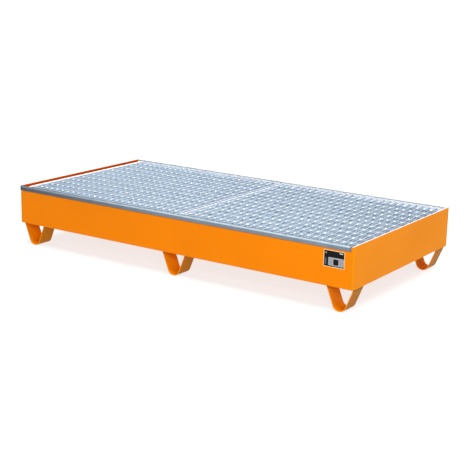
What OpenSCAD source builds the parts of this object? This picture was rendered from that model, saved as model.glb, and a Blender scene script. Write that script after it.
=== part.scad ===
// Spill containment pallet: a folded sheet-steel sump tray on V-shaped strap feet,
// with an angle rail along each long edge and two lift-off gratings.
// X runs along the length, -Y is the front, +Z is up. The origin is on the floor
// under the middle of the pallet. All sizes are in millimetres.

/* [Tray] */
// Overall length, over the end plates
tray_l = 2400; // [2000:10:3000]
// Width over the folded front and rear walls
tray_w = 1200; // [1000:10:1400]
// Height of the body, from its underside to the top of the end plates
tray_h = 240; // [180:5:300]
// Thickness of the sheet
sheet_t = 3; // [2:0.5:4]
// Inside radius of the sheet's bends
bend_in_r = 2; // [1:0.5:6]
// Width of the inward fold that carries the gratings
ledge_w = 50; // [40:1:80]
// Length of the end plates' folded returns along the long sides
return_l = 19; // [15:1:40]
// How far the right-hand end plate's returns stop below its top
return_drop = 6.5; // [0:0.5:20]

/* [Edge rails] */
// Height of the rail above the ledge
rail_h = 28; // [24:1:40]
// Width of the rail, seen from above
rail_w = 11; // [10:1:13]
// Outer radius of the rail's bend
rail_bend_r = 8; // [4:0.5:9]
// Thickness of the angle
rail_t = 3; // [2:0.5:4]
// How far the rail stands out from the long wall
rail_proud = 1; // [0:0.5:2]
// Slot between the right-hand end of a rail and the fold of the end plate
rail_end_slot = 8; // [3:1:15]
// Gap between a rail and the cut-out in the left-hand end plate
rail_gap = 0.5; // [0.2:0.1:2]

/* [Support beam] */
// Width of the beam's flat top
beam_w = 60; // [40:5:100]
// Thickness of the beam's sheet
beam_t = 3; // [2:0.5:5]
// Gap between each end of the beam and the end plate
beam_end_gap = 10; // [2:1:40]
// Number of drain openings along the beam
drain_count = 8; // [2:1:16]
// Width of one drain opening
drain_w = 80; // [40:5:120]
// Height of one drain opening
drain_h = 30; // [15:5:60]

/* [Feet] */
// Height of the feet, from the floor to the underside of the tray
foot_h = 140; // [100:5:180]
// Width of a foot across the top of its two limbs
foot_w = 172; // [140:2:180]
// Width of the strap that the feet are bent from
strap_w = 110; // [60:5:160]
// Thickness of the strap
strap_t = 5; // [4:0.5:8]
// Inside radius of the bend that stands on the floor
foot_bend_r = 39; // [15:1:45]
// Depth that is pressed flat where the bend stands on the floor
foot_flat = 0.5; // [0.2:0.1:1.5]
// Distance from the end of the tray to the middle of the outer feet
foot_end_inset = 90; // [88:1:200]
// Distance from the long wall to the strap
foot_setback = 26; // [5:1:100]

/* [Gratings] */
// Depth of the bearing bars
grating_h = 20; // [16:1:26]
// Gap between a rail and a grating
grating_gap = 3; // [1:0.5:20]
// Thickness of the bearing bars and of the bands
bar_t = 3; // [2:0.5:4]
// Spacing of the bearing bars
bar_pitch = 44.4; // [40:0.1:45]
// Thickness of the cross bars
cross_t = 2; // [1.5:0.5:3]
// Depth of the cross bars
cross_h = 10; // [6:1:15]
// Spacing of the cross bars
cross_pitch = 99.9; // [33.3:33.3:99.9]
// Gap between the left end plate and the left grating, without its flange
left_gap = 46; // [30:1:50]
// Gap between the right end plate and the right grating
right_gap = 19.5; // [10:0.5:30]
// Gap between the two gratings
seam_gap = 25; // [16:1:30]
// How far the flanges on the gratings' side bands stand out
flange_w = 6; // [0:1:7]
// The same for the left grating's outer band
left_flange_w = 15; // [0:1:25]

/* [Label] */
// Width of the label
label_w = 128; // [80:1:200]
// Height of the label
label_h = 94; // [50:1:120]
// Thickness of the label
label_t = 0.8; // [0.3:0.1:1]
// Distance from the right-hand end of the tray to the label
label_inset = 55; // [30:1:300]
// Distance from the label's upper edge up to the ledge
label_drop = 11; // [6:1:50]

/* [Hidden] */
$fn = 64;
eps = 1;

orange = [0.95, 0.47, 0.04];
galvanised = [0.66, 0.71, 0.76];
label_black = [0.08, 0.08, 0.09];

bend_out_r = bend_in_r + sheet_t;
wall_h = tray_h - rail_h;                  // height of the long walls, up to the ledge
ledge_z = foot_h + wall_h;
end_x = tray_l / 2 - sheet_t;              // inner face of an end plate

corner_l = bend_out_r + eps;               // what is left of a return that is cut back to its bend
rail_x0 = -tray_l / 2;
rail_x1 = tray_l / 2 - return_l - rail_end_slot;
rail_inset = rail_t - rail_proud;          // how far the leg reaches in over the wall's top bend
rail_drop = bend_out_r - sqrt(pow(bend_out_r, 2) - pow(bend_out_r - rail_inset, 2));

foot_x = tray_l / 2 - foot_end_inset;
foot_y = tray_w / 2 - foot_setback - strap_w / 2;
foot_out_r = foot_bend_r + strap_t;
foot_centre_z = foot_out_r - foot_h - foot_flat; // middle of the bend; 0 is the tray's underside
foot_reach = norm([foot_w / 2, foot_centre_z]);
limb_angle = atan2(-foot_centre_z, foot_w / 2) + asin(foot_out_r / foot_reach);

left_spaces = round((end_x - left_gap - seam_gap / 2) / bar_pitch);
left_grating_l = left_spaces * bar_pitch + bar_t;
right_grating_l = 2 * end_x - left_gap - left_grating_l - seam_gap - right_gap;
right_bars = floor((right_grating_l - 2 * bar_t) / bar_pitch);
grating_w = tray_w - 2 * (rail_w - rail_proud + grating_gap);
bar_l = grating_w - 2 * bar_t;
cross_side = floor(bar_l / 2 / cross_pitch);      // cross bars on each side of the middle one
cross_ys = [for (i = [-cross_side : cross_side]) i * cross_pitch];

beam_l = 2 * (end_x - beam_end_gap);
beam_h = wall_h - sheet_t;

// ---- outlines ----

// A rectangle that starts at the Y axis, with rounded corners on that side
module round_started(length, width, r) {
  translate([r, -width / 2]) square([length - r, width]);
  translate([0, -width / 2 + r]) square([r, width - 2 * r]);
  for (side = [-1, 1]) translate([r, side * (width / 2 - r)]) circle(r);
}

// A rectangle with four rounded corners, centred on the origin
module round_rect(length, width, r) {
  square([length, width - 2 * r], center = true);
  square([length - 2 * r, width], center = true);
  for (x = [-1, 1], y = [-1, 1])
    translate([x * (length / 2 - r), y * (width / 2 - r)]) circle(r);
}

// Section of the pan: floor, two walls and two ledges folded inwards
module pan_section() {
  difference() {
    translate([0, wall_h / 2]) round_rect(tray_w, wall_h, bend_out_r);
    translate([0, wall_h / 2]) round_rect(tray_w - 2 * sheet_t, wall_h - 2 * sheet_t, bend_in_r);
    translate([-tray_w / 2 + ledge_w, wall_h / 2]) square([tray_w - 2 * ledge_w, wall_h]);
  }
}

// Outline of a V foot whose bend has radius r, with its limbs inset from the outer ones
module v_outline(r, inset, rise) {
  half_w = foot_w / 2 - inset / sin(limb_angle) + rise / tan(limb_angle);
  touch = [r * sin(limb_angle), foot_centre_z - r * cos(limb_angle)];
  polygon([[-half_w, rise], [-touch[0], touch[1]], touch, [half_w, rise]]);
  translate([0, foot_centre_z]) circle(r);
}

// Side view of a bearing bar, with a notch in its top edge for each cross bar
module bar_outline() {
  notches = [for (y = cross_ys, p = [[-1, 0], [-1, -cross_h], [1, -cross_h], [1, 0]])
    [y + p[0] * cross_t / 2, grating_h + p[1]]];
  polygon(concat([[bar_l / 2, grating_h], [bar_l / 2, 0], [-bar_l / 2, 0], [-bar_l / 2, grating_h]],
    notches));
}

// Turns a drawing in the YZ plane upright and draws it out along +X
module along_x(length) {
  rotate([90, 0, 90]) linear_extrude(length) children();
}

// ---- tray ----

module tray_pan() {
  side_x = tray_l / 2 - return_l;
  color(orange) translate([0, 0, foot_h]) {
    translate([-side_x, 0, 0]) along_x(2 * side_x) pan_section();
    linear_extrude(sheet_t) pan_plan();
    translate([0, 0, wall_h - sheet_t]) linear_extrude(sheet_t) difference() {
      pan_plan();
      square([tray_l, tray_w - 2 * ledge_w], center = true);
    }
  }
}

// The room inside the end plates, seen from above
module pan_plan() {
  round_rect(tray_l - 2 * sheet_t, tray_w - 2 * sheet_t, bend_in_r);
}

// An end plate with its outer face on the YZ plane and its returns along +X;
// above return_top the returns are cut back to their bends
module end_plate(return_top) {
  color(orange) intersection() {
    union() {
      linear_extrude(return_top) end_plate_plan(return_l);
      linear_extrude(tray_h) end_plate_plan(corner_l);
    }
    translate([-eps, 0, 0]) rotate([90, 0, 90]) linear_extrude(return_l + 2 * eps)
      rotate(90) round_started(tray_h, tray_w, bend_out_r);
  }
}

// The folded sheet of an end plate seen from above, cut off where its returns end
module end_plate_plan(return_length) {
  difference() {
    round_started(tray_l, tray_w, bend_out_r);
    translate([sheet_t, 0]) round_started(tray_l, tray_w - 2 * sheet_t, bend_in_r);
    translate([return_length, -tray_w]) square([tray_l, 2 * tray_w]);
  }
}

// The left-hand plate's upper corners are cut out, and the rails reach through to its outer face
module left_end_plate() {
  cut_w = rail_w - rail_proud + rail_gap;
  cut_z = wall_h - rail_drop;
  translate([-tray_l / 2, 0, foot_h]) difference() {
    end_plate(cut_z);
    for (side = [0, 1]) mirror([0, side, 0]) translate([-eps, tray_w / 2 - cut_w, cut_z])
      cube([corner_l + 2 * eps, cut_w + eps, tray_h - cut_z + eps]);
  }
}

module right_end_plate() {
  translate([tray_l / 2, 0, foot_h]) mirror([1, 0, 0]) end_plate(tray_h - return_drop);
}

// An angle rail along the front: its short flange is on top, and its leg stands on the wall's bend
module edge_rail() {
  color(galvanised)
    translate([rail_x0, -tray_w / 2 - rail_proud, ledge_z]) along_x(rail_x1 - rail_x0) {
      translate([0, -rail_drop]) square([rail_t, rail_h - rail_bend_r + rail_drop]);
      translate([rail_bend_r, rail_h - rail_t]) square([rail_w - rail_bend_r, rail_t]);
      translate([rail_bend_r, rail_h - rail_bend_r]) intersection() {
        difference() {
          circle(rail_bend_r);
          circle(rail_bend_r - rail_t);
        }
        translate([-rail_bend_r, 0]) square(rail_bend_r);
      }
    }
}

module front_edge_rail() {
  edge_rail();
}

module rear_edge_rail() {
  mirror([0, 1, 0]) edge_rail();
}

// A channel turned upside down, which carries the middle of the bearing bars;
// openings along its foot let liquid pass from one half of the sump to the other
module centre_support_beam() {
  drain_step = beam_l / drain_count;
  color(orange) translate([-beam_l / 2, 0, foot_h + sheet_t]) difference() {
    along_x(beam_l) translate([-beam_w / 2, 0]) square([beam_w, beam_h]);
    translate([-eps, 0, -eps]) along_x(beam_l + 2 * eps) translate([-beam_w / 2 + beam_t, 0])
      square([beam_w - 2 * beam_t, beam_h - beam_t + eps]);
    for (i = [0 : drain_count - 1])
      translate([(i + 0.5) * drain_step - drain_w / 2, -beam_w, -eps])
        cube([drain_w, 2 * beam_w, drain_h + eps]);
  }
}

// ---- feet ----

module foot(column, row) {
  color(orange) translate([column * foot_x, row * foot_y + strap_w / 2, foot_h])
    rotate([90, 0, 0]) linear_extrude(strap_w) difference() {
      v_outline(foot_out_r, 0, 0);
      v_outline(foot_bend_r, strap_t, eps);
      translate([-foot_w / 2, -foot_h - foot_out_r]) square([foot_w, foot_out_r]);
    }
}

module front_left_foot() {
  foot(-1, -1);
}

module front_middle_foot() {
  foot(0, -1);
}

module front_right_foot() {
  foot(1, -1);
}

module rear_left_foot() {
  foot(-1, 1);
}

module rear_middle_foot() {
  foot(0, 1);
}

module rear_right_foot() {
  foot(1, 1);
}

module type_label() {
  color(label_black)
    translate([tray_l / 2 - label_inset - label_w, -tray_w / 2 - label_t, ledge_z - label_drop - label_h])
      cube([label_w, label_t, label_h]);
}

// ---- gratings ----

// A grating's pieces are drawn from the outer face of its outer band, which is at x = 0,
// towards the middle of the pallet, and then moved to the left or turned over to the right
module on_left() {
  color(galvanised) translate([left_gap - end_x, 0, ledge_z]) children();
}

module on_right() {
  color(galvanised) translate([end_x - right_gap, 0, ledge_z]) mirror([1, 0, 0]) children();
}

module bearing_bars(count) {
  for (i = [1 : count]) translate([i * bar_pitch, 0, 0]) along_x(bar_t) bar_outline();
}

module cross_bars(grating_l) {
  for (y = cross_ys) translate([bar_t, y - cross_t / 2, grating_h - cross_h])
    cube([grating_l - 2 * bar_t, cross_t, cross_h]);
}

// A band along X, across the ends of the bearing bars: side is -1 at the front, 1 at the rear
module end_band(grating_l, side) {
  translate([0, side * (grating_w - bar_t) / 2 - bar_t / 2, 0]) cube([grating_l, bar_t, grating_h]);
}

// An angle along Y, between the front and rear bands: its upright starts at x, and
// its flange on top stands out to -X where side is -1, and to +X where side is 1
module side_band(x, flange, side) {
  translate([x, -bar_l / 2, 0]) cube([bar_t, bar_l, grating_h]);
  translate([side < 0 ? x - flange : x, -bar_l / 2, grating_h - bar_t])
    cube([bar_t + flange, bar_l, bar_t]);
}

module left_bearing_bars() {
  on_left() bearing_bars(left_spaces - 1);
}

module left_cross_bars() {
  on_left() cross_bars(left_grating_l);
}

module left_front_band() {
  on_left() end_band(left_grating_l, -1);
}

module left_rear_band() {
  on_left() end_band(left_grating_l, 1);
}

module left_outer_band() {
  on_left() side_band(0, left_flange_w, -1);
}

module left_inner_band() {
  on_left() side_band(left_grating_l - bar_t, flange_w, 1);
}

module right_bearing_bars() {
  on_right() bearing_bars(right_bars);
}

module right_cross_bars() {
  on_right() cross_bars(right_grating_l);
}

module right_front_band() {
  on_right() end_band(right_grating_l, -1);
}

module right_rear_band() {
  on_right() end_band(right_grating_l, 1);
}

module right_outer_band() {
  on_right() side_band(0, flange_w, -1);
}

module right_inner_band() {
  on_right() side_band(right_grating_l - bar_t, flange_w, 1);
}

tray_pan();
left_end_plate();
right_end_plate();
front_edge_rail();
rear_edge_rail();
centre_support_beam();
front_left_foot();
front_middle_foot();
front_right_foot();
rear_left_foot();
rear_middle_foot();
rear_right_foot();
type_label();
left_bearing_bars();
left_cross_bars();
left_front_band();
left_rear_band();
left_outer_band();
left_inner_band();
right_bearing_bars();
right_cross_bars();
right_front_band();
right_rear_band();
right_outer_band();
right_inner_band();
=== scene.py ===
"""Looks of the spill containment pallet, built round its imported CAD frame.

Metres, +X along the length, -Y is the front, +Z up; the floor is z = 0.
"""

import math
import random

import bmesh
import bpy
from mathutils import Matrix, Vector


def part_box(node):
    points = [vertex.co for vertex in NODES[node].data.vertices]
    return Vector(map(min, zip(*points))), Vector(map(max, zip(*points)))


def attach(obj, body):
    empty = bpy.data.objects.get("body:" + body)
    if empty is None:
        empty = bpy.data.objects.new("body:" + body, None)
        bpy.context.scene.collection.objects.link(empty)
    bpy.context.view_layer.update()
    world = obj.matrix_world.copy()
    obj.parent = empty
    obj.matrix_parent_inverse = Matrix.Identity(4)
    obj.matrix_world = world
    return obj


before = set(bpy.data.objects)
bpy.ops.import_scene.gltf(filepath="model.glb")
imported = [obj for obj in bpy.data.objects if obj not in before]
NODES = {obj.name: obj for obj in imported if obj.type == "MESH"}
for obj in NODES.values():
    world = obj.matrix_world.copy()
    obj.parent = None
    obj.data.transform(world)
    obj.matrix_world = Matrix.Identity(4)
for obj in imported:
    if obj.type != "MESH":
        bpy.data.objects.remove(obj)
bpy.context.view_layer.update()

TRAY_LOW, TRAY_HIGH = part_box("tray_pan")
RAIL_LOW, RAIL_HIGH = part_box("rear_edge_rail")
TOP_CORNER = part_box("right_end_plate")[1]
HALF_L, TOP_Z = TOP_CORNER.x, TOP_CORNER.z   # half of the pallet's length, and its height


# ---------------------------------------------------------------- camera

CAMERA_AT = Vector((3.897, -5.765, 1.911))
CAMERA_YAW = -33.75      # degrees from +Y, clockwise seen from above
CAMERA_PITCH = 14.34     # degrees below the horizon
CAMERA_ROLL = 1.39       # degrees
CAMERA_LENS = 87.9       # mm
SENSOR_W = 36            # mm
VIEW_END = 400           # nothing farther away than this is seen


def make_camera():
    """The camera from which the front, the right-hand end and the gratings are seen."""
    yaw, pitch, roll = (math.radians(a) for a in (CAMERA_YAW, CAMERA_PITCH, CAMERA_ROLL))
    forward = Vector((math.sin(yaw) * math.cos(pitch), math.cos(yaw) * math.cos(pitch), -math.sin(pitch)))
    level = Vector((math.cos(yaw), -math.sin(yaw), 0))
    upright = level.cross(forward)
    right = math.cos(roll) * level + math.sin(roll) * upright
    up = math.cos(roll) * upright - math.sin(roll) * level
    data = bpy.data.cameras.new("camera")
    data.sensor_width = SENSOR_W
    data.lens = CAMERA_LENS
    data.clip_end = VIEW_END
    camera = bpy.data.objects.new("camera", data)
    turn = Matrix((right, up, -forward)).transposed().to_4x4()
    camera.matrix_world = Matrix.Translation(CAMERA_AT) @ turn
    bpy.context.scene.collection.objects.link(camera)
    bpy.context.scene.camera = camera


# ---------------------------------------------------------------- light and floor

ROOM_LOW = (0.34, 0.39, 0.45, 1)       # the room's light away from the bright side
ROOM_HIGH = (1.0, 1.0, 1.0, 1)         # the room's light on the bright side
ROOM_BRIGHT_SIDE = Vector((0.55, 0.15, 0.82))
ROOM_CHANGE = (-0.7, 0.9)              # from all low to all high; -1 is away from the bright side, 1 at it
ROOM_STRENGTH = 0.42
OVERHEAD_FROM = Vector((0.18, -0.05, 0.98))
OVERHEAD_STRENGTH = 5.0
OVERHEAD_SPREAD = 50                   # degrees
SOFT_BOX_AT = Vector((3.0, -4.2, 2.4))
SOFT_BOX_AIM = Vector((0.6, -0.4, 0.2))
SOFT_BOX_SIZE = (2.4, 1.6)
SOFT_BOX_WATTS = 125
FLOOR_HALF = 90
FLOOR_TONE = (0.20, 0.20, 0.20, 1)
FLOOR_LIGHT = (1.0, 1.0, 1.0, 1)
FLOOR_GLOW = 0.76                      # most of its light is its own, so that shadows on it are faint


def make_room():
    """A pale room, brighter above and on the right than low down on the left."""
    world = bpy.data.worlds.new("studio")
    world.use_nodes = True
    nodes, links = world.node_tree.nodes, world.node_tree.links
    direction = nodes.new("ShaderNodeTexCoord").outputs["Generated"]
    dot = nodes.new("ShaderNodeVectorMath")
    dot.operation = "DOT_PRODUCT"
    links.new(direction, dot.inputs[0])
    dot.inputs[1].default_value = ROOM_BRIGHT_SIDE.normalized()
    change = nodes.new("ShaderNodeMapRange")
    links.new(dot.outputs["Value"], change.inputs["Value"])
    change.inputs["From Min"].default_value, change.inputs["From Max"].default_value = ROOM_CHANGE
    blend = nodes.new("ShaderNodeMix")
    blend.data_type = "RGBA"
    links.new(change.outputs["Result"], blend.inputs[0])
    blend.inputs[6].default_value = ROOM_LOW
    blend.inputs[7].default_value = ROOM_HIGH
    background = nodes["Background"]
    links.new(blend.outputs[2], background.inputs["Color"])
    background.inputs["Strength"].default_value = ROOM_STRENGTH
    bpy.context.scene.world = world


def aim(lamp, towards_lamp):
    """Turns a lamp so that its light comes from that direction, and puts it in the scene."""
    lamp.rotation_mode = "QUATERNION"
    lamp.rotation_quaternion = towards_lamp.to_track_quat("Z", "Y")
    bpy.context.scene.collection.objects.link(lamp)


def make_lights():
    """A wide overhead light and a soft box on the right, in front."""
    sun = bpy.data.lights.new("overhead", "SUN")
    sun.energy = OVERHEAD_STRENGTH
    sun.angle = math.radians(OVERHEAD_SPREAD)
    aim(bpy.data.objects.new("overhead", sun), OVERHEAD_FROM)

    area = bpy.data.lights.new("soft_box", "AREA")
    area.shape = "RECTANGLE"
    area.size, area.size_y = SOFT_BOX_SIZE
    area.energy = SOFT_BOX_WATTS
    soft_box = bpy.data.objects.new("soft_box", area)
    soft_box.location = SOFT_BOX_AT
    aim(soft_box, SOFT_BOX_AT - SOFT_BOX_AIM)


def make_floor():
    """A large pale floor under the feet."""
    mesh = bpy.data.meshes.new("floor")
    corners = [(-FLOOR_HALF, -FLOOR_HALF, 0), (FLOOR_HALF, -FLOOR_HALF, 0),
               (FLOOR_HALF, FLOOR_HALF, 0), (-FLOOR_HALF, FLOOR_HALF, 0)]
    mesh.from_pydata(corners, [], [(0, 1, 2, 3)])
    floor = bpy.data.objects.new("floor", mesh)
    bpy.context.scene.collection.objects.link(floor)
    shader = Shader("floor_pale", FLOOR_TONE)
    shader.set(**{"Base Color": FLOOR_TONE, "Roughness": 0.9, "Specular IOR Level": 0.1,
                  "Emission Color": FLOOR_LIGHT, "Emission Strength": FLOOR_GLOW})
    mesh.materials.append(shader.material)


# ---------------------------------------------------------------- material building

EDGE_SAMPLES = 4
EDGE_TURN = (0.98, 0.80)          # an edge starts to show, and is full, at this cosine of its turn
BUMP_STRENGTH = 0.5


class Shader:
    """A material with one Principled shader, its colour so far, and short calls that add nodes."""

    def __init__(self, name, colour):
        self.material = bpy.data.materials.new(name)
        self.material.use_nodes = True
        self.tree = self.material.node_tree
        self.main = self.tree.nodes["Principled BSDF"]
        self.place = self.add("ShaderNodeTexCoord").outputs["Object"]
        self.colour = colour

    def set(self, **values):
        for name, value in values.items():
            self.main.inputs[name].default_value = value

    def add(self, kind, inputs=None, **settings):
        """A node; inputs are numbers, colours or other nodes' sockets."""
        made = self.tree.nodes.new(kind)
        for name, value in settings.items():
            setattr(made, name, value)
        for name, value in (inputs or {}).items():
            if isinstance(value, bpy.types.NodeSocket):
                self.tree.links.new(value, made.inputs[name])
            else:
                made.inputs[name].default_value = value
        return made

    def join(self, socket, name):
        self.tree.links.new(socket, self.main.inputs[name])

    def at(self, axis):
        """The place along an axis, in metres."""
        return self.add("ShaderNodeSeparateXYZ", {"Vector": self.place}).outputs[axis]

    def facing(self, axis):
        """How far the surface faces along an axis, from -1 to 1."""
        normal = self.add("ShaderNodeNewGeometry").outputs["True Normal"]
        return self.add("ShaderNodeSeparateXYZ", {"Vector": normal}).outputs[axis]

    def noise(self, scale, detail=3, roughness=0.5):
        node = self.add("ShaderNodeTexNoise", {
            "Vector": self.place, "Scale": scale, "Detail": detail, "Roughness": roughness})
        return node.outputs["Fac"]

    def ramp(self, fac, low, high, start=0.0, end=1.0):
        """fac moved from the range low..high to start..end, and kept inside it."""
        node = self.add("ShaderNodeMapRange", {
            "Value": fac, "From Min": low, "From Max": high, "To Min": start, "To Max": end})
        return node.outputs["Result"]

    def pattern(self, scale, detail, roughness, *spread):
        """Noise, moved as ramp() does."""
        return self.ramp(self.noise(scale, detail, roughness), *spread)

    def math(self, operation, a, b):
        return self.add("ShaderNodeMath", {0: a, 1: b}, operation=operation).outputs[0]

    def product(self, first, *others):
        for other in others:
            first = self.math("MULTIPLY", first, other)
        return first

    def away(self, value, middle=0.0):
        """How far a value is from the middle, on either side of it."""
        return self.math("ABSOLUTE", self.math("SUBTRACT", value, middle), 0.0)

    def mix(self, fac, a, b):
        return self.add("ShaderNodeMix", {0: fac, 6: a, 7: b}, data_type="RGBA").outputs[2]

    def layer(self, fac, colour):
        """Lays a colour over the colour so far; it is hidden where fac is 0 and covers where it is 1."""
        self.colour = self.mix(fac, self.colour, colour)
        self.join(self.colour, "Base Color")

    def bump(self, height, distance, strength=BUMP_STRENGTH):
        node = self.add("ShaderNodeBump", {"Height": height, "Distance": distance, "Strength": strength})
        self.join(node.outputs["Normal"], "Normal")

    def edges(self, radius):
        """1 on sharp outer edges within radius, 0 on flat faces."""
        bevel = self.add("ShaderNodeBevel", {"Radius": radius}, samples=EDGE_SAMPLES).outputs["Normal"]
        true = self.add("ShaderNodeNewGeometry").outputs["Normal"]
        dot = self.add("ShaderNodeVectorMath", {0: bevel, 1: true}, operation="DOT_PRODUCT")
        return self.ramp(dot.outputs["Value"], *EDGE_TURN)


def shade(colour, share):
    """A darker tone of a colour."""
    return tuple(c * share for c in colour[:3]) + (1,)


# ---------------------------------------------------------------- paint

ORANGE = (0.775, 0.196, 0.0005, 1)
PLATE_SHEEN_ORANGE = (0.70, 0.213, 0.0005, 1)         # the end plates, a little paler: a painted sheen of the light on the ends
PLATE_INSIDE_SHADE = (0.62, 0.066, 0.0005, 1)         # and deeper on their inner faces: painted shade
# the feet, lighter and yellower than the tray: painted light against the orange bounce under the tray
FOOT_LIT_ORANGE = (0.86, 0.27, 0.0005, 1)
ORANGE_WORN_AND_LIT = (0.92, 0.40, 0.06, 1)             # on the edges: wear, with a painted edge highlight
DUST = (0.50, 0.20, 0.02, 1)
UNDER_RAIL_SHADE = (0.30, 0.11, 0.02, 1)                   # painted shade close under the rails
FOOT_SHADE = (0.13, 0.064, 0.004, 1)             # painted shade on the feet's undersides, and painted shadow where they meet the tray
# a film of spills inside the tray, made dark grey as painted shade
SUMP_FILM_AND_SHADE = (0.070, 0.068, 0.075, 1)
TONE_SHARE, WELD_SHARE = 0.94, 0.92             # the darker tone of the paint, and the paint on welds

SKIN = 0.0015                     # half of a sheet's thickness
FILM_AND_SHADE_TOP, FILM_AND_SHADE_FADE = 0.3538, 0.0012   # the film of spills, darkened further as painted shade inside the tray, ends here
UNDER_RAIL_SHADE_H = 0.008                   # how far down it reaches from the rails
FOOT_SHADE_H = 0.022               # how far down it reaches from the tray
LOOKS_DOWN = (-0.12, -0.30)       # how far a face looks up where the painted shade on undersides starts and is full
LOOKS_INWARDS = -0.5              # the painted shade of the end plates' inner faces goes where X times how far a face looks along X is below this
EDGE_R, EDGE_WEAR_AND_HIGHLIGHT = 0.0025, 0.40   # width and strength of the wear and painted highlight along edges

# Patterns: how fine (larger is finer), detail, roughness, then the spread that ramp() takes.
TONE_PATTERN = (2.2, 4, 0.5, 0.35, 0.65)
DUST_PATTERN = (38, 5, 0.6, 0.35, 0.75)
FILM_AND_SHADE_PATTERN = (5, 6, 0.6, 0.30, 0.70, 0.86, 0.97)
EDGE_WEAR_AND_HIGHLIGHT_PATTERN = (60, 4, 0.7, 0.40, 0.62)
GLOSS_PATTERN = (9, 5, 0.6, 0.3, 0.7, 0.36, 0.50)
PEEL_NOISE, PEEL_DEPTH = (420, 2), 0.00012


def inside_mask(shader):
    """1 on surfaces inside the tray and below the top of the spill film and painted shade, 0 on its outside
    and its upper edge.
    """
    return shader.product(
        shader.math("LESS_THAN", shader.away(shader.at("X")), HALF_L - SKIN),
        shader.math("LESS_THAN", shader.away(shader.at("Y")), TRAY_HIGH.y - SKIN),
        shader.math("GREATER_THAN", shader.at("Z"), TRAY_LOW.z + SKIN),
        shader.ramp(shader.at("Z"), FILM_AND_SHADE_TOP, FILM_AND_SHADE_TOP - FILM_AND_SHADE_FADE))


def under_rail_mask(shader):
    """1 on the long walls' outside, close under the rails, where their painted shade goes."""
    return shader.product(
        shader.math("GREATER_THAN", shader.away(shader.at("Y")), TRAY_HIGH.y - SKIN),
        shader.ramp(shader.at("Z"), RAIL_LOW.z - UNDER_RAIL_SHADE_H, RAIL_LOW.z))


def plate_inside_shade_mask(shader):
    """1 on the end plates' upright inner faces, where their painted shade goes."""
    return shader.math("LESS_THAN", shader.product(shader.facing("X"), shader.at("X")), LOOKS_INWARDS)


def paint(name, base, dust=0.10, sump=False, rail_shade=0.0, under=0.0, inside=None, corner=0.0):
    """Satin orange coating: slight orange peel, tone that wanders, lighter on the edges from wear and a
    painted highlight.

    dust, rail_shade, under and corner say how strong the dust, the painted shade under the rails, the
    painted shade on undersides and the painted shadow at the feet's tops are. sump adds the film of spills
    with painted shade inside the tray, and inside is the colour of the painted shade on the end plates'
    inner faces.
    """
    shader = Shader(name, base)
    shader.layer(shader.pattern(*TONE_PATTERN), shade(base, TONE_SHARE))
    shader.layer(shader.product(shader.pattern(*DUST_PATTERN), dust), DUST)
    # painted shade on the end plates' inner faces
    if inside:
        shader.layer(plate_inside_shade_mask(shader), inside)
    # painted shade close under the rails
    if rail_shade:
        shader.layer(shader.product(under_rail_mask(shader), rail_shade), UNDER_RAIL_SHADE)
    # film of spills and painted shade inside the tray
    if sump:
        shader.layer(shader.product(inside_mask(shader), shader.pattern(*FILM_AND_SHADE_PATTERN)), SUMP_FILM_AND_SHADE)
    # painted shade on faces that look down
    if under:
        shader.layer(shader.product(shader.ramp(shader.facing("Z"), *LOOKS_DOWN), under), FOOT_SHADE)
    # painted shadow on the feet just under the tray
    if corner:
        near_tray = shader.ramp(shader.at("Z"), TRAY_LOW.z - FOOT_SHADE_H, TRAY_LOW.z, 0.0, corner)
        shader.layer(near_tray, FOOT_SHADE)
    # wear with a painted highlight along the edges
    worn_and_lit = shader.product(shader.edges(EDGE_R), shader.pattern(*EDGE_WEAR_AND_HIGHLIGHT_PATTERN), EDGE_WEAR_AND_HIGHLIGHT)
    shader.layer(worn_and_lit, ORANGE_WORN_AND_LIT)
    shader.join(shader.pattern(*GLOSS_PATTERN), "Roughness")
    shader.bump(shader.noise(*PEEL_NOISE), PEEL_DEPTH)
    shader.set(**{"Specular IOR Level": 0.03})
    return shader.material


# ---------------------------------------------------------------- zinc

RAIL_DARK, RAIL_LIGHT = (0.125, 0.170, 0.210, 1), (0.185, 0.245, 0.295, 1)   # the front rail
REAR_LIT_DARK, REAR_LIT_LIGHT = (0.70, 0.76, 0.82, 1), (0.86, 0.90, 0.94, 1)         # the rear rail, lightened: painted light on its top and inner faces
REAR_OUTER_DARK, REAR_OUTER_LIGHT = (0.27, 0.36, 0.43, 1), (0.38, 0.50, 0.60, 1)   # and the darker zinc of its outer face
RAIL_END_SHADE = (0.020, 0.024, 0.032, 1)           # painted shade at the left-hand end of the front rail
BAR_DARK, BAR_LIGHT = (0.56, 0.72, 0.90, 1), (0.73, 0.87, 0.98, 1)
BEAD_DARK, BEAD_LIGHT = (0.76, 0.82, 0.90, 1), (0.88, 0.92, 0.97, 1)
# the gratings' front band, darker: painted shadow of the front rail
FRONT_BAND_SHADED_DARK, FRONT_BAND_SHADED_LIGHT = (0.22, 0.28, 0.38, 1), (0.34, 0.42, 0.54, 1)
BAND_DARK, BAND_LIGHT = (0.50, 0.60, 0.74, 1), (0.64, 0.74, 0.86, 1)
BANDS = {
    # the darkest and the lightest tone of the sides, and the tone of the top edge, a painted highlight on
    # most; seam_left's dark sides are painted shade in the seam, and rear_band is painted light all over
    "left_band": (BAND_DARK, BAND_LIGHT, (0.95, 0.97, 1.0, 1)),
    "right_band": (BAND_DARK, BAND_LIGHT, (0.60, 0.64, 0.77, 1)),
    "seam_left": ((0.13, 0.21, 0.35, 1), (0.20, 0.29, 0.45, 1), (0.60, 0.64, 0.76, 1)),
    "seam_right": (BAND_DARK, BAND_LIGHT, (0.84, 0.88, 0.97, 1)),
    "rear_band": ((0.84, 0.89, 0.97, 1), (0.95, 0.97, 1.0, 1), (1.0, 1.0, 1.0, 1)),
}
# painted highlight along the front rail's top bend
ZINC_HIGHLIGHT = (0.52, 0.60, 0.68, 1)
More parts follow.
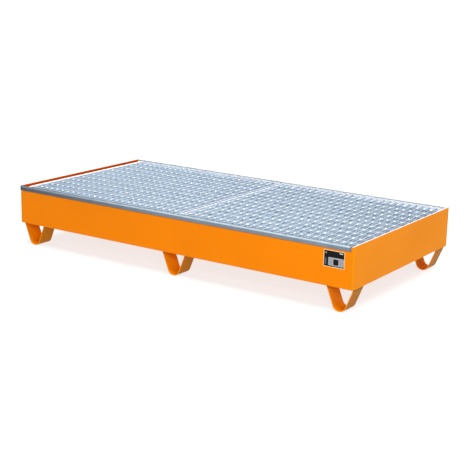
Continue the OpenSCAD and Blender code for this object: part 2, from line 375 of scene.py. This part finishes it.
# painted shade on the bearing bars: patches along their sides, the front rail's shadow, the left front
# corner
ZINC_SHADE = (0.09, 0.12, 0.25, 1)
CROSS_SHARE = 0.74                # the cross bars' tones, as a share of the bearing bars'

CRYSTAL_SHARE = 0.45              # of the mottling; the rest is cloudy
ZINC_ROUGH, BEAD_ROUGH = (0.32, 0.55), (0.22, 0.36)   # the smoothest and the roughest crystal
CLOUD_PATTERN = (14, 6, 0.65, 0.30, 0.70)
RUN_NOISE, RUN_DEPTH = (90, 4, 0.6), 0.0004

HIGHLIGHT_H, HIGHLIGHT_W = 0.0115, 0.0036   # height and width of the painted highlight along the front rail's top bend
HIGHLIGHT_FULL = 0.6                 # it is full nearer to the edge than this share of its size
HIGHLIGHT_LEFT = 0.3                 # its strength at the left-hand end, as a share
HIGHLIGHT_PATTERN = (30, 4, 0.5, 0.25, 0.6, 0.7, 1.0)
RAIL_LEFT_SHADE, RAIL_LEFT_SHADE_SHARE = 0.92, 0.38   # strength and tone of the painted shade at the rail's left-hand end, a darker reflection
TIP_L, TIP_FULL = 0.012, 0.3      # length of the painted shade at the end, and where it is full, as a share
REAR_OUTER_NOISE = (12, 5)
LOOKS_BACK = (0.3, 0.8)           # how far a face looks along +Y where the outer face's darker tone starts and is full

CROSS_PITCH = 0.0999              # spacing of the gratings' cross bars; one of them is at y = 0
SHADE_AT = 0.66                    # where the patches of painted shade are between two cross bars, as a share
SHADE_REACH = (0.26, 0.12)         # they start and are full this far from there, as shares
SHADE_BELOW = 0.0064               # how far the middle of a patch of painted shade is below the top of the cross bars
SHADE_H, SHADE_FULL = 0.0045, 0.4   # from there to its upper and lower edge, and where it is full
SHADE_PATTERN = (17, 2, 0.5, 0.34, 0.60, 0.25, 1.0)
SHADE_EVEN_X, SHADE_LEFT = 0.2, 0.12   # the patches fade to the left of this X, to this share at the end
FRONT_SHADOW, FRONT_SHADOW_L = 0.75, 0.052   # painted shadow of the front rail on the bars beside it, over this length
FRONT_SHADOW_FULL = 0.8             # full over this share of it
CORNER_SHADE = 0.40                # and a little painted shade round the left front corner,
CORNER_SHADE_X, CORNER_SHADE_Y = -0.2, 0.3   # as far as here
SHADE_COVER = 0.95
BEAD_DULL, BEAD_DULL_X = 0.90, 0.1   # the beads' duller tone at the left-hand end fades out at this X
LOOKS_UP = (0.4, 0.9)             # how far a face looks up where a band's painted top highlight starts and is full
BAND_PATTERN = (30, 4, 0.5, 0.2, 0.5, 0.8, 1.0)


def zinc(name, dark, light, spangle, metallic, rough=ZINC_ROUGH):
    """Hot-dip galvanised steel: crystals of slightly different grey, mottled, with soft runs."""
    shader = Shader(name, dark)
    cells = shader.add("ShaderNodeTexVoronoi", {"Vector": shader.place, "Scale": spangle, "Randomness": 1.0})
    crystal = shader.add("ShaderNodeSeparateColor", {"Color": cells.outputs["Color"]}).outputs["Red"]
    crystals = shader.product(crystal, CRYSTAL_SHARE)
    clouds = shader.product(shader.pattern(*CLOUD_PATTERN), 1 - CRYSTAL_SHARE)
    shader.layer(shader.math("ADD", crystals, clouds), light)
    shader.join(shader.ramp(crystal, 0.0, 1.0, *rough), "Roughness")
    shader.set(Metallic=metallic)
    shader.bump(shader.noise(*RUN_NOISE), RUN_DEPTH)
    return shader


def rail_zinc():
    """The front rail: painted shade towards the left-hand end and at its cut end, and a painted highlight
    along the bend on top.
    """
    shader = zinc("rail_zinc", RAIL_DARK, RAIL_LIGHT, spangle=55, metallic=0.35)
    left = shader.ramp(shader.at("X"), -HALF_L, 0.0, 1.0, 0.0)
    # painted shade towards the left-hand end, a darker reflection
    shader.layer(shader.product(left, RAIL_LEFT_SHADE), shade(RAIL_DARK, RAIL_LEFT_SHADE_SHARE))
    off_middle = shader.away(shader.at("Y"))
    # painted highlight along the bend on top
    rail_highlight = shader.product(
        shader.ramp(shader.at("Z"), TOP_Z - HIGHLIGHT_H, TOP_Z - HIGHLIGHT_H * HIGHLIGHT_FULL),
        shader.ramp(off_middle, RAIL_HIGH.y - HIGHLIGHT_W, RAIL_HIGH.y - HIGHLIGHT_W * HIGHLIGHT_FULL),
        shader.ramp(left, 0.0, 1.0, 1.0, HIGHLIGHT_LEFT),
        shader.pattern(*HIGHLIGHT_PATTERN))
    shader.layer(rail_highlight, ZINC_HIGHLIGHT)
    # painted shade at the rail's left-hand end
    tip = shader.ramp(shader.at("X"), TIP_L * TIP_FULL - HALF_L, TIP_L - HALF_L, 1.0, 0.0)
    shader.layer(tip, RAIL_END_SHADE)
    return shader.material


def rear_rail_zinc():
    """The rear rail: painted light on top and inside, darker zinc on its outer face."""
    shader = zinc("rear_rail_zinc", REAR_LIT_DARK, REAR_LIT_LIGHT, spangle=55, metallic=0.1)
    outer_tone = shader.mix(shader.noise(*REAR_OUTER_NOISE), REAR_OUTER_DARK, REAR_OUTER_LIGHT)
    shader.layer(shader.ramp(shader.facing("Y"), *LOOKS_BACK), outer_tone)
    return shader.material


def bar_zinc():
    """The bearing bars, with painted shade in patches along their sides, a painted shadow beside the front
    rail and painted shade in a corner.
    """
    shader = zinc("bar_zinc", BAR_DARK, BAR_LIGHT, spangle=70, metallic=0.08)
    patch_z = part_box("left_cross_bars")[1].z - SHADE_BELOW
    turns = shader.math("FRACT", shader.math("DIVIDE", shader.at("Y"), CROSS_PITCH), 0.0)
    along = shader.ramp(shader.away(turns, SHADE_AT), *SHADE_REACH)
    across = shader.ramp(shader.away(shader.at("Z"), patch_z), SHADE_H, SHADE_H * SHADE_FULL)
    even = shader.ramp(shader.at("X"), -HALF_L, SHADE_EVEN_X, SHADE_LEFT, 1.0)
    patches = shader.product(along, across, shader.product(shader.pattern(*SHADE_PATTERN), even))
    front_end, front_full = (reach - RAIL_HIGH.y for reach in (FRONT_SHADOW_L, FRONT_SHADOW_L * FRONT_SHADOW_FULL))
    front = shader.ramp(shader.at("Y"), front_end, front_full, 0.0, FRONT_SHADOW)
    corner = shader.product(
        shader.ramp(shader.at("X"), -HALF_L, CORNER_SHADE_X, CORNER_SHADE, 0.0),
        shader.ramp(shader.at("Y"), -RAIL_HIGH.y, CORNER_SHADE_Y, 1.0, 0.0))
    # painted shade and shadow on the bars
    painted_shade = shader.math("MAXIMUM", shader.math("MAXIMUM", patches, front), corner)
    shader.layer(shader.product(painted_shade, SHADE_COVER), ZINC_SHADE)
    return shader.material


def bead_zinc():
    """The zinc over the crossings: bright, and duller towards the left-hand end."""
    shader = zinc("bead_zinc", BEAD_DARK, BEAD_LIGHT, spangle=120, metallic=0.3, rough=BEAD_ROUGH)
    shader.layer(shader.ramp(shader.at("X"), -HALF_L, BEAD_DULL_X, BEAD_DULL, 0.0), BAR_LIGHT)
    return shader.material


def band_zinc(name, dark, light, top):
    """A band whose top edge has a tone of its own, a painted highlight."""
    shader = zinc(name, dark, light, spangle=60, metallic=0.05)
    # painted highlight on the top edge
    top_highlight = shader.product(shader.ramp(shader.facing("Z"), *LOOKS_UP), shader.pattern(*BAND_PATTERN))
    shader.layer(top_highlight, top)
    return shader.material


# ---------------------------------------------------------------- print

LABEL_BLACK = (0.004, 0.004, 0.005, 1)
INKS = {
    "cream": (0.86, 0.60, 0.28, 1),
    "grey": (0.34, 0.35, 0.37, 1),
    "blue_grey": (0.10, 0.16, 0.25, 1),
    "pale": (0.62, 0.65, 0.68, 1),
}
INK_ROUGH, FILM_ROUGH = 0.42, 0.45   # the smoothest places of the inks and of the label's film
INK_ROUGH_STEP = 0.14             # and how much rougher the roughest ones are
INK_SHARE = 0.82                  # the darker tone of an ink
INK_NOISE, GLINT_NOISE, GLINT_RANGE = (160, 3), (40,), (0.3, 0.7)
GRAIN_NOISE, GRAIN_DEPTH, GRAIN_STRENGTH = (900, 2), 0.00004, 0.4


def print_ink(name, colour, roughness):
    """Screen-printed ink, a little uneven."""
    shader = Shader(name, colour)
    shader.layer(shader.noise(*INK_NOISE), shade(colour, INK_SHARE))
    glint = shader.ramp(shader.noise(*GLINT_NOISE), *GLINT_RANGE, roughness, roughness + INK_ROUGH_STEP)
    shader.join(glint, "Roughness")
    shader.bump(shader.noise(*GRAIN_NOISE), GRAIN_DEPTH, GRAIN_STRENGTH)
    shader.set(**{"Specular IOR Level": 0.12})
    return shader.material


# ---------------------------------------------------------------- all materials

MATERIALS = {}
CAD_MATERIALS = {
    # the end of a node's name, and its material; the first end that fits counts
    "_foot": "foot", "_end_plate": "plate", "rear_edge_rail": "rear_rail", "_rail": "rail",
    "_bearing_bars": "bars", "_cross_bars": "cross", "_front_band": "front_band",
    "left_inner_band": "seam_left", "right_inner_band": "seam_right",
    "left_outer_band": "left_band", "right_outer_band": "right_band", "_rear_band": "rear_band",
    "_label": "label", "": "coat",
}


def make_materials():
    """Makes every material, under the short name that the pieces ask for."""
    # tray: painted shade under the rails, and a film of spills with painted shade inside
    MATERIALS["coat"] = paint("tray_coat", ORANGE, sump=True, rail_shade=0.75)
    # feet: a lighter orange as painted light; under is painted shade on undersides, corner a painted shadow
    # at their tops
    MATERIALS["foot"] = paint("foot_coat", FOOT_LIT_ORANGE, dust=0.16, under=0.60, corner=0.85)
    MATERIALS["weld"] = paint("weld_coat", shade(ORANGE, WELD_SHARE), dust=0.22)
    # end plates: a paler orange as painted sheen, with painted shade on their inner faces
    MATERIALS["plate"] = paint("plate_coat", PLATE_SHEEN_ORANGE, sump=True, inside=PLATE_INSIDE_SHADE)
    MATERIALS["rail"] = rail_zinc()
    MATERIALS["rear_rail"] = rear_rail_zinc()
    MATERIALS["bars"] = bar_zinc()
    MATERIALS["cross"] = zinc("cross_bar_zinc", shade(BAR_DARK, CROSS_SHARE), shade(BAR_LIGHT, CROSS_SHARE),
                              spangle=90, metallic=0.1).material
    for band, tones in BANDS.items():
        MATERIALS[band] = band_zinc(band + "_zinc", *tones)
    # darker tones: painted shadow of the front rail on the front band
    MATERIALS["front_band"] = zinc("front_band_zinc", FRONT_BAND_SHADED_DARK, FRONT_BAND_SHADED_LIGHT,
                                   spangle=60, metallic=0.2).material
    MATERIALS["beads"] = bead_zinc()
    MATERIALS["label"] = print_ink("label_film", LABEL_BLACK, FILM_ROUGH)
    for ink, colour in INKS.items():
        MATERIALS[ink] = print_ink("print_" + ink, colour, INK_ROUGH)


def dress_cad():
    """Gives every carried-over CAD node its finished material."""
    for name, node in NODES.items():
        kind = next(kind for ending, kind in CAD_MATERIALS.items() if name.endswith(ending))
        for slot in node.material_slots:
            slot.material = MATERIALS[kind]


# ---------------------------------------------------------------- pieces

def finish_piece(name, mesh, material, body, smooth=True):
    """Turns a bmesh into a piece that rides on a body."""
    bmesh.ops.recalc_face_normals(mesh, faces=mesh.faces)
    data = bpy.data.meshes.new(name)
    mesh.to_mesh(data)
    mesh.free()
    data.materials.append(MATERIALS[material])
    for face in data.polygons:
        face.use_smooth = smooth
    piece = bpy.data.objects.new(name, data)
    bpy.context.scene.collection.objects.link(piece)
    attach(piece, body)


def skin_rings(mesh, rings, first, last):
    """Closes a stack of rings of vertices into a solid, with a point at each end."""
    count = len(rings[0])
    for low, high in zip(rings, rings[1:]):
        for k in range(count):
            mesh.faces.new((low[k], low[(k + 1) % count], high[(k + 1) % count], high[k]))
    for point, ring in ((first, rings[0]), (last, rings[-1])):
        tip = mesh.verts.new(point)
        for k in range(count):
            mesh.faces.new((tip, ring[k], ring[(k + 1) % count]))


# ---- the gratings' zinc ----

SEEDS = {"left": 11, "right": 12, "tray_welds": 21, "corner_seams": 22}
BEAD_SIDES = 12
BEAD_RINGS = 5
BEAD_SIZES = (0.86, 1.12)         # the smallest and the largest bead, as shares
BEAD_SHIFT = (0.0006, 0.0010)     # how far a bead may be off its place, along X and Y
BEAD_WOBBLE = 0.06                # how uneven its outline is, as a share
CROSSING_LOBES = 0.10
CROSSING_HALF = Vector((0.0066, 0.0082, 0.0046))
CROSSING_RUN = Vector((-0.0015, -0.0045, 0))     # the zinc ran a little to one side
CROSSING_SUNK = 0.0026            # how far the middle of a crossing's bead is below the grating's top
END_WELD_HALF = Vector((0.0042, 0.0038, 0.0060))
BAR_WELD_OFF = 0.002              # from the middle of a bearing bar's end to its two beads, on either side
BAR_WELD_UP = 0.002               # and how far they are above it
ROD_WELD_OFF = 0.0015             # from the middle of a cross bar's end to its two beads, on either side
ROD_WELD_UP = 0.004               # and how far they are above the cross bar's lower edge
SAME_PLACE = 1e-6                 # vertices closer than this are one


def add_bead(mesh, centre, half, lobes, rng):
    """A drop of zinc: a flattened ball, which lobes makes run out along X and Y by that share."""
    turn = rng.uniform(0, 2 * math.pi)
    size = rng.uniform(*BEAD_SIZES)
    shift = Vector([rng.uniform(-most, most) for most in BEAD_SHIFT] + [0])
    rings = []
    for i in range(1, BEAD_RINGS + 1):
        rise = math.pi * (i / (BEAD_RINGS + 1) - 0.5)
        ring = []
        for k in range(BEAD_SIDES):
            angle = 2 * math.pi * k / BEAD_SIDES
            reach = 1 + lobes * math.cos(4 * angle) + BEAD_WOBBLE * math.sin(3 * angle + turn)
            ring.append(mesh.verts.new(centre + shift + Vector((
                half.x * size * reach * math.cos(rise) * math.cos(angle),
                half.y * size * reach * math.cos(rise) * math.sin(angle),
                half.z * math.sin(rise)))))
        rings.append(ring)
    up = Vector((0, 0, half.z))
    skin_rings(mesh, rings, centre + shift - up, centre + shift + up)


def islands(node):
    """The boxes of a node's separate solids, as (lowest, highest) corners."""
    mesh = bmesh.new()
    mesh.from_mesh(NODES[node].data)
    bmesh.ops.remove_doubles(mesh, verts=mesh.verts, dist=SAME_PLACE)
    found, seen = [], set()
    for start in mesh.verts:
        if start in seen:
            continue
        seen.add(start)
        group, queue = [], [start]
        while queue:
            vert = queue.pop()
            group.append(vert.co.copy())
            for edge in vert.link_edges:
                other = edge.other_vert(vert)
                if other not in seen:
                    seen.add(other)
                    queue.append(other)
        found.append(tuple(Vector(pick(c[k] for c in group) for k in range(3)) for pick in (min, max)))
    mesh.free()
    return found


def middles(node, axis):
    """The middles of a node's separate solids along an axis, in order."""
    return sorted((low[axis] + high[axis]) / 2 for low, high in islands(node))


def grating_beads(side):
    """The zinc of one grating: a bead over every crossing, and two at each end of every bar."""
    rng = random.Random(SEEDS[side])
    bars = middles(side + "_bearing_bars", 0)
    rods = middles(side + "_cross_bars", 1)
    low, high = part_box(side + "_bearing_bars")
    rod_low, rod_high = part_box(side + "_cross_bars")
    mesh = bmesh.new()
    for x in bars:
        for y in rods:
            crossing = Vector((x, y, high.z - CROSSING_SUNK)) + CROSSING_RUN
            add_bead(mesh, crossing, CROSSING_HALF, CROSSING_LOBES, rng)
    finish_piece(side + "_crossing_welds", mesh, "beads", side + "_grating")
    mesh = bmesh.new()
    bar_weld_z = (low.z + high.z) / 2 + BAR_WELD_UP
    for x in bars:
        for y in (low.y, high.y):
            for step in (-BAR_WELD_OFF, BAR_WELD_OFF):
                add_bead(mesh, Vector((x + step, y, bar_weld_z)), END_WELD_HALF, 0.0, rng)
    for x in (rod_low.x, rod_high.x):
        for y in rods:
            for step in (-ROD_WELD_OFF, ROD_WELD_OFF):
                add_bead(mesh, Vector((x, y + step, rod_low.z + ROD_WELD_UP)), END_WELD_HALF, 0.0, rng)
    finish_piece(side + "_end_welds", mesh, "beads", side + "_grating")


# ---- the tray's welds ----

RIPPLE = 0.0032                   # length of one ripple of a weld bead
RIPPLE_UP, RIPPLE_DOWN = 0.10, -0.06   # its crest and trough, as shares of the bead's radius
RIPPLE_ROUGH = 0.05               # how uneven they are, as a share
FEWEST_STEPS = 6
WELD_SIDES = 8
WELD_TIP = 0.45                   # radius at a weld's ends, as a share
SHORT_WELD = 0.05                 # a weld shorter than this tapers over a sixth of it at each end,
SHORT_TAPER, LONG_TAPER = 6, 40   # and a longer one over a fortieth
FOOT_WELD_R = 0.0032
FOOT_WELD_INSET = 0.006           # from the edge of a foot to the end of its weld
STITCH_WELD_R = 0.0030
STITCH_L = 0.040
STITCH_STEP = 0.160
STITCH_START = 0.010              # from the support beam's end to its first weld
SEAM_WELD_R = 0.0016
SEAM_WELD_INSET = 0.006           # from the tray's upper and lower edge to the end of a seam's weld
SEAM_WELD_SUNK = 0.70             # how deep a seam's weld lies in the wall, as a share of its radius
RETURN_REACH = 0.016              # from the tray pan's end to the edge of an end plate's return


def add_weld(mesh, start, end, radius, rng):
    """A rippled fillet bead along a straight line, tapered at both ends."""
    run = (end - start).normalized()
    side = run.orthogonal().normalized()
    other = run.cross(side)
    length = (end - start).length
    steps = max(FEWEST_STEPS, round(length / RIPPLE * 2))
    steepness = SHORT_TAPER if length < SHORT_WELD else LONG_TAPER
    rings = []
    for i in range(1, steps):
        along = i / steps
        taper = min(1.0, steepness * along, steepness * (1 - along))
        ripple = RIPPLE_UP if i % 2 else RIPPLE_DOWN
        uneven = rng.uniform(-RIPPLE_ROUGH, RIPPLE_ROUGH)
        r = radius * (WELD_TIP + (1 - WELD_TIP) * taper) * (1 + ripple + uneven)
        centre = start + run * length * along
        rings.append([mesh.verts.new(centre + (side * math.cos(a) + other * math.sin(a)) * r)
                      for a in (2 * math.pi * k / WELD_SIDES for k in range(WELD_SIDES))])
    skin_rings(mesh, rings, start, end)


def tray_welds():
    """Beads where the feet meet the tray's underside, and where the support beam stands on its floor."""
    rng = random.Random(SEEDS["tray_welds"])
    mesh = bmesh.new()
    for name in sorted(NODES):
        if name.endswith("_foot"):
            low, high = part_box(name)
            for x in (low.x, high.x):
                start = Vector((x, low.y + FOOT_WELD_INSET, high.z))
                end = Vector((x, high.y - FOOT_WELD_INSET, high.z))
                add_weld(mesh, start, end, FOOT_WELD_R, rng)
    finish_piece("foot_welds", mesh, "weld", "tray")
    mesh = bmesh.new()
    low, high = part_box("centre_support_beam")
    count = int((high.x - low.x - STITCH_L) / STITCH_STEP)
    for y in (low.y, high.y):
        for i in range(count + 1):
            x = low.x + STITCH_START + i * STITCH_STEP
            add_weld(mesh, Vector((x, y, low.z)), Vector((x + STITCH_L, y, low.z)), STITCH_WELD_R, rng)
    finish_piece("beam_stitch_welds", mesh, "weld", "tray")


def corner_seams():
    """The dressed vertical seams where the end plates' returns meet the long walls."""
    rng = random.Random(SEEDS["corner_seams"])
    mesh = bmesh.new()
    bottom, top = TRAY_LOW.z + SEAM_WELD_INSET, TRAY_HIGH.z - SEAM_WELD_INSET
    for x in (TRAY_LOW.x + RETURN_REACH, TRAY_HIGH.x - RETURN_REACH):
        for y in (TRAY_LOW.y, TRAY_HIGH.y):
            depth = y - math.copysign(SEAM_WELD_R * SEAM_WELD_SUNK, y)
            add_weld(mesh, Vector((x, depth, bottom)), Vector((x, depth, top)), SEAM_WELD_R, rng)
    finish_piece("corner_seam_welds", mesh, "weld", "tray")


# ---- the label's print ----

PRINT_T = 0.00012                 # thickness of the print on the label
PRINT_CUT = 0.08                  # the cut corners of a printed block, as a share of its smaller side
BORDER_W = 0.0034
PRINT_BLOCKS = (
    # across and up the label, from its lower left corner, as shares: x0, x1, z0, z1, ink
    (0.225, 0.965, 0.100, 0.580, "grey"),
    (0.090, 0.130, 0.130, 0.520, "blue_grey"),
    (0.085, 0.135, 0.770, 0.870, "grey"),
    (0.745, 0.785, 0.845, 0.905, "pale"),
    (0.800, 0.850, 0.845, 0.905, "pale"),
    (0.865, 0.910, 0.845, 0.905, "pale"),
    (0.480, 0.920, 0.045, 0.070, "blue_grey"),
)
SQUARE = (0.467, 0.710, 0.155, 0.500)   # a dark square on the first block, in the same shares
TABLE_ROWS = 6                    # dark rules part the first block into this many rows
RULE_HALF_H = 0.006
RULE_INSET, RULE_GAP = 0.02, 0.03   # from a rule's ends to the block's edge and to the square


def add_plate(mesh, low, high):
    """A thin plate with four small cut corners, drawn in XZ and thickened along Y."""
    cut = min(high.x - low.x, high.z - low.z) * PRINT_CUT
    outline = [(low.x + cut, low.z), (high.x - cut, low.z), (high.x, low.z + cut), (high.x, high.z - cut),
               (high.x - cut, high.z), (low.x + cut, high.z), (low.x, high.z - cut), (low.x, low.z + cut)]
    front = [mesh.verts.new((x, low.y, z)) for x, z in outline]
    back = [mesh.verts.new((x, high.y, z)) for x, z in outline]
    mesh.faces.new(front)
    mesh.faces.new(back[::-1])
    for k in range(len(outline)):
        n = (k + 1) % len(outline)
        mesh.faces.new((front[k], back[k], back[n], front[n]))


def label_print():
    """Generic print on the type label: a border, short marks, and a block with rules and a square."""
    low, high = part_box("type_label")
    size = high - low
    inks = {}

    def block(ink, x0, x1, z0, z1, layer=0):
        if ink not in inks:
            inks[ink] = bmesh.new()
        y = low.y - PRINT_T * layer
        add_plate(inks[ink], Vector((low.x + x0 * size.x, y - PRINT_T, low.z + z0 * size.z)),
                  Vector((low.x + x1 * size.x, y, low.z + z1 * size.z)))

    for *place, ink in PRINT_BLOCKS:
        block(ink, *place)
    across, up = BORDER_W / size.x, BORDER_W / size.z
    for place in ((0, 1, 0, up), (0, 1, 1 - up, 1), (0, across, up, 1 - up), (1 - across, 1, up, 1 - up)):
        block("cream", *place)
    block("label", *SQUARE, layer=1)
    x0, x1, z0, z1 = PRINT_BLOCKS[0][:4]
    for i in range(1, TABLE_ROWS):
        z = z0 + (z1 - z0) * i / TABLE_ROWS
        for start, end in ((x0 + RULE_INSET, SQUARE[0] - RULE_GAP), (SQUARE[1] + RULE_GAP, x1 - RULE_INSET)):
            block("label", start, end, z - RULE_HALF_H, z + RULE_HALF_H, layer=1)
    for ink, mesh in inks.items():
        finish_piece("label_print_" + ink, mesh, ink, "tray", smooth=False)


# ---------------------------------------------------------------- main

bpy.context.scene.view_settings.view_transform = "Standard"
make_camera()
make_room()
make_lights()
make_floor()
make_materials()
dress_cad()
for grating_side in ("left", "right"):
    grating_beads(grating_side)
tray_welds()
corner_seams()
label_print()
